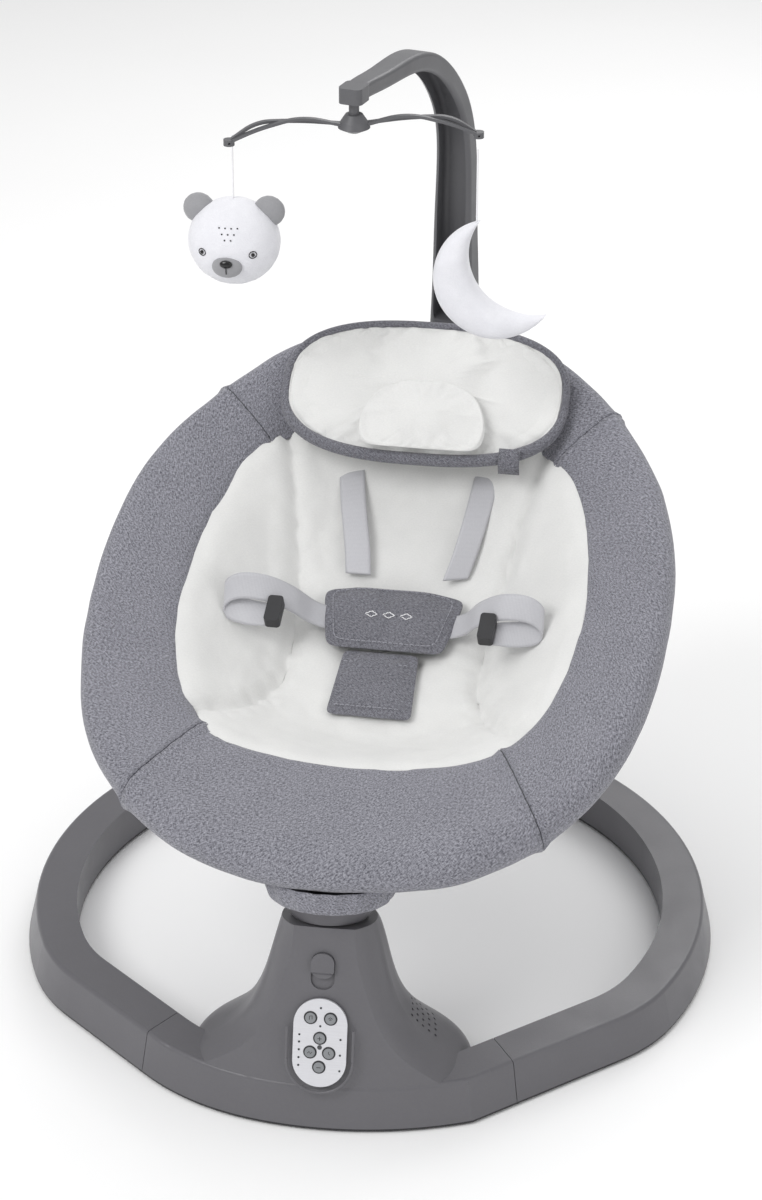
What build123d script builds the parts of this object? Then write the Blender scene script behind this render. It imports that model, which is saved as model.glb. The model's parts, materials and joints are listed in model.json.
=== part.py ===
from build123d import *
import os
from math import cos, radians, sin, sqrt, tan

# Baby swing: a round floor base with a motor tower at its front, an egg-shaped
# fabric seat that swings about a tilted upright shaft, and a toy arm behind it.
# Millimetres. +X is to the right seen from the front, the front faces -Y and
# +Z is up. The origin is the middle of the base's footprint, on the floor.

# ---- base ----
base_radius = 300.0        # round part of the footprint
base_center_y = 8.0        # middle of that circle
nose_reach = 80.0          # of the point where the two front sides would meet
nose_point_y = base_center_y - base_radius - nose_reach
nose_angle = 41.0          # of each front side to the X axis
nose_radius = 205.0
cheek_radius = 150.0       # where a front side runs into the circle
ring_width = 44.0
ring_height = 39.0
ring_lean = 9.0            # how far the outer wall leans in at its top
ring_edge = 4.0
wall = 3.0
foot_height = 2.0
cover_thickness = 2.4
seam_angle = 33.0          # of each housing seam, seen from the middle, from -Y
seam_gap = 0.6
foot_radius = 13.0

# ---- tower ----
tower_top = (0.0, -219.0, 160.0)
shaft_tilt = 13.0
face_lean = 16.9           # of the front face from the vertical
face_foot_y = -301.0       # the front face at floor level
collar_radius = 38.0
shaft_radius = 8.0
shaft_clearance = 0.05
bearing_radius = 15.0
bearing_height = 8.0
bearing_depth_upper = 6.0  # top of the bearing under the tower's top
bearing_depth_lower = 62.0
bearing_tube_wall = 3.0

# ---- control panel ----
panel_width = 43.0
panel_length = 73.0
panel_thickness = 2.4
panel_z = 77.0
button_radius = 4.3
button_gap = 0.15
button_stand = 1.4
button_depth = 7.0
led_radius = 0.9

# ---- lock slider ----
lock_z = 133.0
lock_width = 19.0
lock_length = 31.0
lock_depth = 5.5
lock_travel = 9.0
lock_gap = 0.25

# ---- hub ----
bowl_gap = 2.0             # bowl floor above the tower's top
bowl_low_radius = 31.0
bowl_top_radius = 46.0
bowl_height = 20.0
park_turn = -4.0           # where the seat is parked, about the shaft
lever_length = 58.0
lever_drop = 84.0          # lever under the tower's top

# ---- seat ----
rim_angle = 26.0
rim_front = (0.0, -267.0, 229.0)
rim_depth = 30.0
rim_slope = 20.0
soft_gap = 0.4
tube_radius = 9.0
tube_wall = 1.5
tube_level = -17.0         # tube axis under the rim plane
front_seam = (122.0, 133.0, 166.0, 58.0)
rear_seam = (128.0, 430.0, 158.0, 488.0)

# ---- toy arm and mobile ----
arm_base = (0.0, 302.0)    # post axis before the seat is turned to its park angle
arm_turn = -15.2           # of the whole arm about its post
arm_low_z = 432.0
arm_bend_low = (0.0, 655.0)    # along the reach, height
arm_bend_high = (80.0, 728.0)
arm_reach = 224.0
arm_tip_z = 736.0
arm_low_width = 41.0
arm_low_depth = 27.0
arm_tip_width = 18.0
arm_tip_depth = 12.0
arm_wall = 3.0
peg_radius = 13.0
peg_length = 52.0
socket_wall = 4.5
swivel_clearance = 0.08
spindle_radius = 4.2
hanger_turn = 13.0
hanger_reach = 100.0
hanger_tip_z = 696.0
hanger_top_z = 719.0
hanger_low_z = 704.0
string_radius = 0.75
bear_string = 54.0
moon_string = 61.0
bear_radius = 38.0
moon_radius = 51.0
moon_hang = 16.0
moon_thickness = 30.0

# Moves every part so that the origin lies under the middle of the overall box.
origin_shift_y = -13.3

os.makedirs("parts", exist_ok=True)


def save(shape, name):
    solids = [Pos(0, origin_shift_y, 0) * solid for solid in shape.solids()]
    kept = solids[0] if len(solids) == 1 else Compound(children=solids)
    export_step(kept, f"parts/{name}.step")


def turned(x, y):
    """A plan point after the seat's park turn, taken about the tower's top."""
    a = radians(park_turn)
    dy = y - tower_top[1]
    return (x * cos(a) - dy * sin(a), tower_top[1] + x * sin(a) + dy * cos(a))


hub = Location(tower_top, (-shaft_tilt, 0, 0))
park = hub * Location((0, 0, 0), (0, 0, park_turn)) * hub.inverse()
seat = park * Location(rim_front, (rim_angle, 0, 0))
hub_parked = park * hub
face_slope = tan(radians(face_lean))


def face_at(z):
    """A frame on the tower's front face: X across, Y up the face, Z outwards."""
    return Location((0, face_foot_y + z * face_slope, z), (90 - face_lean, 0, 0))


def soft_radii(points):
    """The largest smooth bend at each corner of a route."""
    radii = []
    for a, b, c in zip(points, points[1:], points[2:]):
        first = Vector(*b) - Vector(*a)
        second = Vector(*c) - Vector(*b)
        turn = radians(first.get_angle(second))
        radii.append(0.45 * min(first.length, second.length) / tan(turn / 2))
    return radii


def tube_path(points):
    return FilletPolyline(*points, radius=soft_radii(points))


# ---- base ring ----
def footprint(inset, z):
    """The base's outline moved inwards, as a face at a height."""
    reach = 2 * base_radius
    side = (reach * cos(radians(nose_angle)), reach * sin(radians(nose_angle)))
    wedge = Polygon(
        (0, nose_point_y), (side[0], nose_point_y + side[1]), (side[0], reach),
        (-side[0], reach), (-side[0], nose_point_y + side[1]), align=None)
    disc = Pos(0, base_center_y) * Circle(base_radius)
    shape = disc & wedge
    corners = shape.vertices().sort_by(Axis.Y)
    shape = fillet(corners[0], nose_radius)
    corners = [v for v in shape.vertices() if abs(v.X) > 0.6 * base_radius and v.Y < 0]
    shape = fillet(corners, cheek_radius)
    if inset:
        shape = offset(shape, -inset)
    return Pos(0, 0, z) * shape.faces()[0]


cover_top = foot_height + cover_thickness
outer_ring = loft([footprint(0.8, cover_top), footprint(ring_lean, ring_height)], ruled=True)
inner_hole = extrude(footprint(ring_width, 0), 2 * ring_height)
ring_top_edges = outer_ring.faces().sort_by(Axis.Z)[-1].edges()
outer_ring = fillet(ring_top_edges, ring_edge)
ring_hollow = loft(
    [footprint(0.8 + wall, cover_top), footprint(ring_lean + wall, ring_height - wall)], ruled=True)
hollow_core = extrude(footprint(ring_width - wall, 0), 2 * ring_height)
ring_shell = (outer_ring - inner_hole) - (ring_hollow - hollow_core)

seam_reach = 2 * base_radius
seam_x = seam_reach * sin(radians(seam_angle))
seam_y = -seam_reach * cos(radians(seam_angle))
front_wedge = extrude(Polygon((0, 0), (-seam_x, seam_y), (seam_x, seam_y), align=None), 400)
front_cut = extrude(
    Polygon((0, seam_gap * 2), (-seam_x - seam_gap, seam_y), (seam_x + seam_gap, seam_y),
            align=None), 400)
rear_shell = ring_shell - front_cut
left_half = Pos(-seam_reach / 2 - seam_gap / 2, 0, 0) * Box(seam_reach, 2 * seam_reach, 200)
right_half = Pos(seam_reach / 2 + seam_gap / 2, 0, 0) * Box(seam_reach, 2 * seam_reach, 200)
save(rear_shell & left_half, "base_ring_left")
save(rear_shell & right_half, "base_ring_right")

cover = extrude(footprint(1.6, foot_height), cover_thickness)
cover -= extrude(footprint(ring_width - 0.8, 0), ring_height)
foot_angles = (0, 62, 120, 180, 240, 298)
feet = []
for angle in foot_angles:
    spot_radius = base_radius - ring_width / 2
    spot = Pos(spot_radius * sin(radians(angle)),
               base_center_y - spot_radius * cos(radians(angle)), 0)
    feet.append(spot * extrude(Circle(foot_radius), foot_height))
save(Part() + feet, "rubber_feet")

# ---- tower ----
# Each section: height, front, rear and half width.
tower_sections = (
    (cover_top, -158.0, 112.0),
    (ring_height, -160.0, 104.0),
    (62.0, -172.0, 78.0),
    (86.0, -181.0, 61.0),
    (112.0, -184.0, 51.0),
    (138.0, -183.0, 44.0),
)


def tower_face(z, rear, half_width, inset):
    front = face_foot_y + z * face_slope + inset
    back = rear - inset
    depth = back - front
    width = 2 * (half_width - inset)
    middle = Pos(0, (front + back) / 2, z)
    return (middle * RectangleRounded(width, depth, 0.42 * min(width, depth))).faces()[0]


def tower_loft(inset, top_drop):
    faces = [tower_face(z, rear, half, inset) for z, rear, half in tower_sections]
    side = 2 * (collar_radius - inset)
    cap = hub * Pos(0, 0, -top_drop) * RectangleRounded(side, side, 0.49 * side)
    return loft(faces + [cap.faces()[0]])


# The tower never stands outside the ring's own leaning wall.
lean_rate = ring_lean / (ring_height - cover_top)
limit_height = 175.0


def leaning_block(inset):
    top_inset = inset + lean_rate * (limit_height - cover_top)
    return loft([footprint(inset, cover_top), footprint(top_inset, limit_height)], ruled=True)


tower = tower_loft(0, 0) & leaning_block(0.8)
tower_hollow = tower_loft(wall, wall) & leaning_block(0.8 + wall)
bearing_tube = hub * Pos(0, 0, -bearing_depth_lower - bearing_height) * Cylinder(
    bearing_radius + bearing_tube_wall, bearing_depth_lower + bearing_height - 1,
    align=(Align.CENTER, Align.CENTER, Align.MIN))
bearing_bore = hub * Pos(0, 0, -bearing_depth_lower - bearing_height - 1) * Cylinder(
    bearing_radius, bearing_depth_lower + bearing_height + 1 - bearing_depth_upper,
    align=(Align.CENTER, Align.CENTER, Align.MIN))
shaft_hole = hub * Cylinder(shaft_radius + 2, 40)

panel_face = face_at(panel_z)
lock_face = face_at(lock_z)


def stadium(width, length):
    return SlotOverall(length, width, rotation=90)


boss_rim = 4.0
boss = panel_face * Pos(0, 0, -6) * extrude(
    stadium(panel_width + 2 * boss_rim, panel_length + 2 * boss_rim), 7)
recess = panel_face * Pos(0, 0, -panel_thickness - 0.2) * extrude(
    stadium(panel_width + 0.6, panel_length + 0.6), 20)
# Each button: name, place across and up the panel.
buttons = (
    ("music", -8.0, 20.5), ("wireless", 8.0, 20.5), ("swing_up", 0.0, 4.0),
    ("mode", -7.5, -8.0), ("timer", 7.5, -8.0), ("swing_down", 0.0, -20.0))
leds = ((0, 29), (0, 14), (-16.5, 6), (-16.5, 0), (-16.5, -6.5), (-16.5, -13), (-16.5, -19.5),
        (16.5, 4), (16.5, -9), (16.5, -22))
sensor_at = (0.0, -3.6)
sensor_radius = 1.9


def panel_pins(radius, low, high, spots):
    return [panel_face * Pos(x, y, low) * extrude(Circle(radius), high - low) for x, y in spots]


button_spots = [(x, y) for name, x, y in buttons]
button_holes = panel_pins(button_radius + button_gap, -30, 10, button_spots)
led_holes = panel_pins(led_radius, -panel_thickness - 0.1, 5, leds)
sensor_hole = panel_pins(sensor_radius, -panel_thickness - 0.1, 5, [sensor_at])
lock_recess = lock_face * Pos(0, 0, -lock_depth) * extrude(
    RectangleRounded(lock_width, lock_length, lock_width * 0.45), 30)
lock_boss = lock_face * Pos(0, 0, -lock_depth - 2) * extrude(
    RectangleRounded(lock_width + 4, lock_length + 3, lock_width * 0.5), lock_depth + 2)

speaker_spot = Location((63.0, -212.0, 58.0), (0, 56, 8))
speaker_holes = []
hole_pitch = 7.0
for row in range(-2, 3):
    for column in range(-2, 3):
        speaker_holes.append(speaker_spot * Pos(row * hole_pitch, column * hole_pitch, -30)
                             * extrude(Circle(1.3), 60))

front_shell = (ring_shell & front_wedge) - tower
tower_shell = tower - tower_hollow
tower_shell += (boss + lock_boss) & tower
tower_shell += bearing_tube & tower
tower_shell -= bearing_bore
tower_shell -= shaft_hole
socket_spot = Location((0.0, -165.0, 22.0), (-90, 0, 0))
socket_hole = socket_spot * Cylinder(5.6, 40)
housing = front_shell + tower_shell - recess - lock_recess - button_holes - speaker_holes
housing -= socket_hole
save(housing, "base_front_housing")

tower_floor = Pos(0, 0, foot_height - cover_top) * tower_face(*tower_sections[0], 1.0)
cover += extrude(tower_floor, cover_thickness) & extrude(footprint(1.6, foot_height),
                                                         cover_thickness)
save(cover, "base_bottom_cover")

panel = panel_face * Pos(0, 0, -panel_thickness) * extrude(stadium(panel_width, panel_length),
                                                          panel_thickness)
panel -= panel_pins(button_radius + button_gap, -30, 10, button_spots)
save(panel - led_holes - sensor_hole, "control_panel")
save(Part() + panel_pins(led_radius, -panel_thickness, 0.3, leds), "indicator_leds")
save(Part() + panel_pins(sensor_radius, -panel_thickness, 0.3, [sensor_at]), "sensor_window")
for name, x, y in buttons:
    cap = panel_face * Pos(x, y, -button_depth) * extrude(Circle(button_radius),
                                                          button_depth + button_stand)
    cap = fillet(cap.edges().filter_by(GeomType.CIRCLE).sort_by(
        lambda e: (panel_face.inverse() * Pos(*e.center())).position.Z)[-1], 0.6)
    save(cap, f"button_{name}")

board_gap = 3.0
board = panel_face * Pos(0, -4, -button_depth - board_gap - 1.6) * Box(36, 62, 1.6)
save(board, "circuit_board")

lock_block = RectangleRounded(lock_width - 2 * lock_gap, lock_length - lock_travel - 2 * lock_gap,
                              lock_width * 0.44)
lock_slider = lock_face * Pos(0, lock_travel / 2, -lock_depth + lock_gap) * extrude(
    lock_block, lock_depth + 0.6)
thumb_scoop = lock_face * Pos(0, lock_travel / 2 - 11, 4.5) * Rot(0, 90, 0) * Cylinder(7, 40)
save(lock_slider - thumb_scoop, "lock_slider")

# ---- bearings, shaft and drive ----
bearing_ring = Circle(bearing_radius - 0.02) - Circle(shaft_radius + shaft_clearance)
for name, depth in (("upper_bearing", bearing_depth_upper), ("lower_bearing", bearing_depth_lower)):
    save(hub * Pos(0, 0, -depth - bearing_height) * extrude(bearing_ring, bearing_height), name)

bowl_outline = Polyline(
    (0, bowl_gap), (bowl_low_radius, bowl_gap), (bowl_top_radius, bowl_gap + bowl_height),
    (bowl_top_radius - wall, bowl_gap + bowl_height), (bowl_low_radius - wall, bowl_gap + wall),
    (0, bowl_gap + wall), close=True)
bowl = revolve(Plane.XZ * make_face(bowl_outline), Axis.Z)
bowl -= Cylinder(shaft_radius, 40)
bowl = hub_parked * bowl
save(bowl, "hub_bowl")
shaft_low = lever_drop + 8
shaft = hub_parked * Pos(0, 0, -shaft_low) * Cylinder(
    shaft_radius, shaft_low + bowl_gap + 20, align=(Align.CENTER, Align.CENTER, Align.MIN))
save(shaft, "drive_shaft")
lever = Pos(0, 0, -lever_drop - 5) * (
    extrude(Circle(14), 5) + Pos(0, lever_length / 2, 0) * extrude(Rectangle(16, lever_length), 5))
lever -= Pos(0, 0, -lever_drop - 6) * extrude(Circle(shaft_radius), 8)
magnet = Pos(0, lever_length - 8, -lever_drop - 13) * extrude(Circle(9), 8)
save(hub_parked * (lever + magnet), "magnet_lever")
coil_rise = 12.0
coil_y = -188.0
coil = Pos(0, coil_y, cover_top) * (extrude(Circle(19) - Circle(8), coil_rise))
save(coil, "drive_coil")
save(socket_spot * Pos(0, 0, -9) * Cylinder(5.5, 16, align=(Align.CENTER, Align.CENTER, Align.MIN))
     - socket_spot * Pos(0, 0, -2) * Cylinder(3.2, 30), "power_socket")
speaker_disc = speaker_spot * Pos(0, 0, -22) * extrude(Circle(17), 10)
save(speaker_disc & tower_loft(wall + 1, wall + 1), "speaker")
screw_radius = 2.2
screws = []
for angle in (30, 75, 105, 150, 210, 255, 285, 330):
    spot_radius = base_radius - ring_width / 2
    screws.append(Pos(spot_radius * sin(radians(angle)),
                      base_center_y - spot_radius * cos(radians(angle)), foot_height - 1.2)
                  * extrude(Circle(2 * screw_radius), 1.2))
save(Part() + screws, "screws")

# ---- seat: outlines in the rim plane, U across, V up the slope, W out of it ----
rim_outer = ((0, 0), (97, 15), (166, 58), (225, 159), (238, 265), (217, 401), (172, 475),
             (100, 541), (0, 560))
rim_inner = ((0, 111), (70, 116), (124, 138), (160, 197), (171, 275), (158, 380), (128, 440),
             (75, 482), (0, 498))


def egg(share, level):
    """An outline between the rim's outer edge (share 0) and its inner edge (share 1)."""
    half = [((1 - share) * a + share * c, (1 - share) * b + share * d)
            for (a, b), (c, d) in zip(rim_outer, rim_inner)]
    mirrored = [(-x, y) for x, y in reversed(half[1:-1])]
    return Pos(0, 0, level) * make_face(Spline(*half, *mirrored, periodic=True))


band = extrude(egg(0, -rim_depth), rim_depth)
band -= extrude(egg(1, -2 * rim_depth), 3 * rim_depth)
band -= loft([egg(0.05, 0), egg(1, -rim_slope)], ruled=True)

tube_corners = ((34, 19), (96, 29), (171, 92), (213, 192), (219, 318), (185, 424), (107, 511),
                (30, 541))
right_route = [(x, y, tube_level) for x, y in tube_corners]
left_route = [(-x, y, tube_level) for x, y in tube_corners]


def frame_tube(points, radius, hole):
    path = tube_path(points)
    ring = Circle(radius) - Circle(hole) if hole else Circle(radius)
    return sweep(Plane(origin=path @ 0, z_dir=path % 0) * ring, path=path)


tube_right = frame_tube(right_route, tube_radius, tube_radius - tube_wall)
tube_left = frame_tube(left_route, tube_radius, tube_radius - tube_wall)
save(seat * tube_right, "frame_tube_right")
save(seat * tube_left, "frame_tube_left")
band -= frame_tube(right_route, tube_radius + soft_gap, 0)
band -= frame_tube(left_route, tube_radius + soft_gap, 0)

bracket_width = 92.0
bracket_side = Polygon((6, -28), (6, -5.5), (86, -19), (86, -29.5), align=None)
bracket_block = extrude(Plane.YZ * bracket_side, bracket_width / 2, both=True)
bracket = bracket_block
bracket -= frame_tube(right_route, tube_radius, 0) + frame_tube(left_route, tube_radius, 0)
hub_in_seat = seat.inverse() * hub_parked
stem_radius = 18.0


def hub_post(radius):
    post = hub_in_seat * Pos(0, 0, bowl_gap + wall) * Cylinder(
        radius, 90, align=(Align.CENTER, Align.CENTER, Align.MIN))
    return post & (Pos(0, 60, -100 + tube_level) * Box(300, 300, 200))


stem = hub_post(stem_radius) - hub_in_seat * Cylinder(shaft_radius, 2 * (bowl_gap + 20))
bracket += stem - bracket_block
save(seat * bracket, "seat_bracket")
band -= bracket_block
band -= hub_post(stem_radius + soft_gap)

connector = Pos(0, 541, tube_level) * Box(76, 26, 24)
connector -= frame_tube(right_route, tube_radius, 0) + frame_tube(left_route, tube_radius, 0)
post_x, post_y = turned(*arm_base)
socket_top = arm_low_z - 1
socket = Pos(post_x, post_y, socket_top - peg_length) * extrude(
    Circle(peg_radius + socket_wall), peg_length)
strut_width = 28.0
strut_low = 404.0
strut_top = 429.0
rib_top = 446.0
strut = park * (Pos(0, 263, (strut_low + strut_top) / 2) * Box(strut_width, 74, strut_top - strut_low)
                + Pos(0, 234, (strut_low + rib_top) / 2) * Box(strut_width, 16, rib_top - strut_low))
connector = seat * connector + socket + strut
connector -= Pos(post_x, post_y, socket_top - peg_length + 4) * extrude(
    Circle(peg_radius + swivel_clearance), peg_length + 60)
save(connector, "frame_connector")
band -= Pos(0, 541, tube_level) * Box(77, 27, 25)
strut_in_seat = seat.inverse() * strut
band -= strut_in_seat


def seam_prism(seam):
    """A wedge bounded by the two mirrored seam lines of one end of the rim."""
    in_x, in_y, out_x, out_y = seam
    step = (out_x - in_x, out_y - in_y)
    far = (out_x + 3 * step[0], out_y + 3 * step[1])
    near = (in_x - step[0], in_y - step[1])
    outline = Polygon(near, far, (-far[0], far[1]), (-near[0], near[1]), align=None)
    return extrude(outline, 2 * rim_depth, both=True)


front_prism = seam_prism(front_seam)
rear_prism = seam_prism(rear_seam)
sides = band - front_prism - rear_prism
half_box = Box(600, 1600, 400)
save(seat * (band & front_prism), "rim_cover_front")
save(seat * (band & rear_prism), "rim_cover_rear")
save(seat * (sides & (Pos(-300, 0, 0) * half_box)), "rim_cover_left")
save(seat * (sides & (Pos(300, 0, 0) * half_box)), "rim_cover_right")

# ---- liner, sling and pouch ----
bowl_floor = ((0, 185), (35, 190), (62, 205), (80, 235), (84, 262), (78, 300), (60, 335),
              (35, 355), (0, 362))


def nest(share, level):
    """An outline between the rim's inner edge (share 0) and the seat's floor (share 1)."""
    half = [((1 - share) * a + share * c, (1 - share) * b + share * d)
            for (a, b), (c, d) in zip(rim_inner, bowl_floor)]
    mirrored = [(-x, y) for x, y in reversed(half[1:-1])]
    return Pos(0, 0, level) * make_face(Spline(*half, *mirrored, periodic=True))


def shell_of(profile):
    return loft([nest(share, level) for share, level in profile])


liner_outer = ((0.02, -22), (0.35, -62), (0.70, -88), (1.00, -98))
liner_inner = ((0.06, -16), (0.43, -57), (0.79, -80), (1.12, -88))
liner = shell_of(liner_outer) - shell_of(liner_inner)
save(seat * liner, "seat_liner")

sling_outer = [egg(0.35, -30.6), nest(0.0, -64), nest(0.42, -98), nest(0.85, -110)]
sling_inner = [egg(0.39, -30.5), nest(0.05, -60), nest(0.48, -94), nest(0.90, -106)]
sling = loft(sling_outer) - loft(sling_inner)
pouch_radius = 50.0
pouch_void = hub_in_seat * Cylinder(pouch_radius + 6, 160)
save(seat * (sling - pouch_void - strut_in_seat), "seat_sling")
pouch_outline = Polyline((bowl_top_radius + 1, 17), (pouch_radius, 17), (pouch_radius + 5, 36),
                         (pouch_radius + 1, 36), close=True)
pouch = hub_in_seat * revolve(Plane.XZ * make_face(pouch_outline), Axis.Z)
pouch -= extrude(egg(0, -rim_depth - 0.4), 2 * rim_depth)
save(seat * pouch, "hub_pouch")

# ---- head pillow ----
pillow_size = (250.0, 130.0, 20.0)
pillow_lean = 18.0
pillow_at = (6.0, 478.0, 10.0)
binding_width = 7.0
binding_gap = 0.3


def oval(width, length):
    return RectangleRounded(width, length, 0.46 * length)


pillow_place = Location(pillow_at, (pillow_lean, 0, 0))
pillow_inner = oval(pillow_size[0] - 2 * binding_width, pillow_size[1] - 2 * binding_width)
pillow_body = extrude(pillow_inner, pillow_size[2] / 2, both=True)
pillow_body = fillet(pillow_body.edges().group_by(Axis.Z)[0], 6)
pillow_body = fillet(pillow_body.edges().group_by(Axis.Z)[-1], 6)
binding = extrude(oval(pillow_size[0], pillow_size[1]), 5, both=True) - extrude(
    oval(pillow_size[0] - 2 * binding_width + binding_gap,
         pillow_size[1] - 2 * binding_width + binding_gap), 30, both=True)
save(seat * pillow_place * pillow_body, "head_pillow")
save(seat * pillow_place * binding, "pillow_binding")
cradle_size = (108.0, 64.0, 7.0)
cradle = Pos(4, -22, pillow_size[2] / 2 + 0.3) * extrude(oval(cradle_size[0], cradle_size[1]),
                                                         cradle_size[2])
cradle = fillet(cradle.edges().group_by(Axis.Z)[-1], 3)
save(seat * pillow_place * cradle, "head_cradle")

# ---- harness ----
web_width = 20.0
web_thickness = 1.6


def strap(points, side):
    """Flat webbing along a route, its width lying along one axis."""
    path = tube_path(points) if len(points) > 2 else Polyline(*points)
    start = Plane(origin=path @ 0, x_dir=side, z_dir=path % 0)
    return sweep(start * Rectangle(web_width, web_thickness), path=path)


shoulder_left = [(-56, 436, -47), (-48, 395, -61), (-38, 352, -74)]
shoulder_right = [(64, 440, -44), (59, 396, -60), (52, 352, -74)]
for name, sign, shoulder in (("left", -1, shoulder_left), ("right", 1, shoulder_right)):
    save(seat * strap(shoulder, (1, 0, 0)), f"shoulder_strap_{name}")
    waist = [(sign * 62, 292, -77), (sign * 88, 291, -70), (sign * 118, 287, -52),
             (sign * 128, 281, -38), (sign * 116, 274, -29), (sign * 98, 267, -30)]
    save(seat * strap(waist, (0, 1, 0)), f"waist_strap_{name}")

clips = []
for sign in (-1, 1):
    clips.append(Pos(sign * 90, 267, -34) * extrude(RectangleRounded(13, 26, 3), 5, both=True))
save(seat * (Part() + clips), "strap_clips")
buckle_place = Location((0, 295, -80))
buckle_body = buckle_place * extrude(RectangleRounded(44, 40, 8), 4, both=True)
button_well = buckle_place * Pos(0, 0, -2.5) * extrude(Circle(8.4), 12)
save(seat * (buckle_body - button_well), "harness_buckle")
buckle_button = buckle_place * Pos(0, 0, 0.5) * extrude(Circle(8.2), 4)
save(seat * buckle_button, "buckle_button")
cover_height = 8.0
buckle_cover = Pos(0, 293, -74) * extrude(
    make_face(FilletPolyline((-50, -31), (50, -31), (61, 26), (30, 32), (-30, 32), (-61, 26),
                             radius=10, close=True)), cover_height)
save(seat * buckle_cover, "buckle_cover")
crotch_pad = Pos(-2, 228, -78) * extrude(
    make_face(FilletPolyline((-35, -30), (35, -30), (31, 33), (-31, 33), radius=6, close=True)),
    7)
save(seat * crotch_pad, "crotch_pad")

# ---- toy arm ----
arm_frame = Location((post_x, post_y, 0), (0, 0, arm_turn))


def arm_point(along, height):
    return (0, -along, height)


arm_path = tube_path([arm_point(0, arm_low_z), arm_point(*arm_bend_low),
                      arm_point(*arm_bend_high), arm_point(arm_reach, arm_tip_z)])
arm_stations = 11


def arm_section(share, inset, drop):
    """A section across the arm; drop moves it towards the hollow side."""
    spot = arm_path @ share
    ahead = arm_path % share
    width = arm_low_width + share * (arm_tip_width - arm_low_width) - 2 * inset
    depth = arm_low_depth + share * (arm_tip_depth - arm_low_depth) - inset
    plane = Plane(origin=spot, x_dir=(1, 0, 0), z_dir=ahead)
    return plane * Pos(0, drop) * RectangleRounded(width, depth, 0.22 * depth)


def arm_loft(first, last, inset, drop):
    shares = [first + (last - first) * i / (arm_stations - 1) for i in range(arm_stations)]
    return loft([arm_section(share, inset, drop) for share in shares])


arm_solid = arm_loft(0, 1, 0, 0)
hollow_side = -1 if (Plane(origin=(0, 0, 0), x_dir=(1, 0, 0), z_dir=arm_path % 0).y_dir.Y > 0) else 1
arm_hollow = arm_loft(0.06, 0.93, arm_wall, hollow_side * arm_wall)
peg = Pos(0, 0, arm_low_z - peg_length + 6) * extrude(Circle(peg_radius), peg_length - 6)
tip_block_height = 13.0
tip_low_z = arm_tip_z - 6.5
tip_block = Pos(0, -arm_reach, tip_low_z) * extrude(
    RectangleRounded(arm_tip_width + 2, 22, 5), tip_block_height)
arm = arm_solid - arm_hollow + peg + tip_block
spindle_hole_depth = 9.0
arm -= Pos(0, -arm_reach, tip_low_z - 11) * extrude(
    Circle(spindle_radius + swivel_clearance), 11 + spindle_hole_depth)
save(arm_frame * arm, "toy_arm")

# ---- mobile ----
hang_x, hang_y = (arm_frame * Pos(0, -arm_reach, 0)).position.X, \
    (arm_frame * Pos(0, -arm_reach, 0)).position.Y
hanger_frame = Location((hang_x, hang_y, 0), (0, 0, hanger_turn))
spindle_top = tip_low_z + spindle_hole_depth - 0.5
spindle = Pos(0, 0, hanger_top_z) * extrude(Circle(spindle_radius), spindle_top - hanger_top_z)
save(hanger_frame * spindle, "mobile_spindle")
hub_outline = Polyline((0, hanger_low_z), (5, hanger_low_z), (13, hanger_low_z + 4),
                       (11, hanger_low_z + 9), (7, hanger_top_z), (0, hanger_top_z), close=True)
hanger = revolve(Plane.XZ * make_face(hub_outline), Axis.Z)
ribbon = (4.5, 2.2)
knob_height = 5.0
eyelet_radius = 0.9
for sign in (-1, 1):
    for offset_y, rise in ((-2.6, 6.0), (2.6, 1.0)):
        route = [(sign * 6, offset_y, hanger_low_z + 6),
                 (sign * hanger_reach * 0.42, offset_y, hanger_low_z + 9 + rise),
                 (sign * hanger_reach * 0.78, offset_y * 0.9, hanger_low_z + 11 - rise),
                 (sign * hanger_reach, offset_y * 0.4, hanger_tip_z + 3)]
        path = tube_path(route)
        hanger += sweep(Plane(origin=path @ 0, x_dir=(0, 1, 0), z_dir=path % 0)
                        * Rectangle(*ribbon), path=path)
    hanger += Pos(sign * hanger_reach, 0, hanger_tip_z) * extrude(Circle(4.5), knob_height)
    hanger -= Pos(sign * hanger_reach, 0, hanger_tip_z + knob_height / 2) * Rot(90, 0, 0) * (
        Cylinder(eyelet_radius, 20))
save(hanger_frame * hanger, "mobile_hanger")

string_gap = 0.4
for name, sign, drop in (("left", -1, bear_string), ("right", 1, moon_string)):
    line = Pos(sign * hanger_reach, 0, hanger_tip_z - drop) * extrude(
        Circle(string_radius), drop - string_gap)
    save(hanger_frame * line, f"string_{name}")

bear_at = (hanger_frame * Pos(-hanger_reach, 0, hanger_tip_z - bear_string)).position
bear_frame = Location((bear_at.X, bear_at.Y, bear_at.Z - bear_radius * 0.96 - string_gap))
bear_flat = 0.82
head = scale(Sphere(bear_radius), by=(1, bear_flat, 0.96))
muzzle_spot = Pos(-1, -bear_radius * bear_flat + 1, -12)
muzzle = muzzle_spot * scale(Sphere(12.5), by=(1, 0.42, 0.72))
nose = muzzle_spot * Pos(0, -5, 4) * scale(Sphere(4.6), by=(1.15, 0.5, 0.7))
ears = []
for sign in (-1, 1):
    ear = Pos(sign * 29, 2, 26) * scale(Sphere(13), by=(1, 0.5, 1))
    ears.append(ear - scale(head, by=1.004))
save(bear_frame * head, "bear_head")
save(bear_frame * (Part() + ears), "bear_ears")
save(bear_frame * (muzzle - head - nose), "bear_muzzle")
save(bear_frame * (nose - head), "bear_nose")

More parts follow.
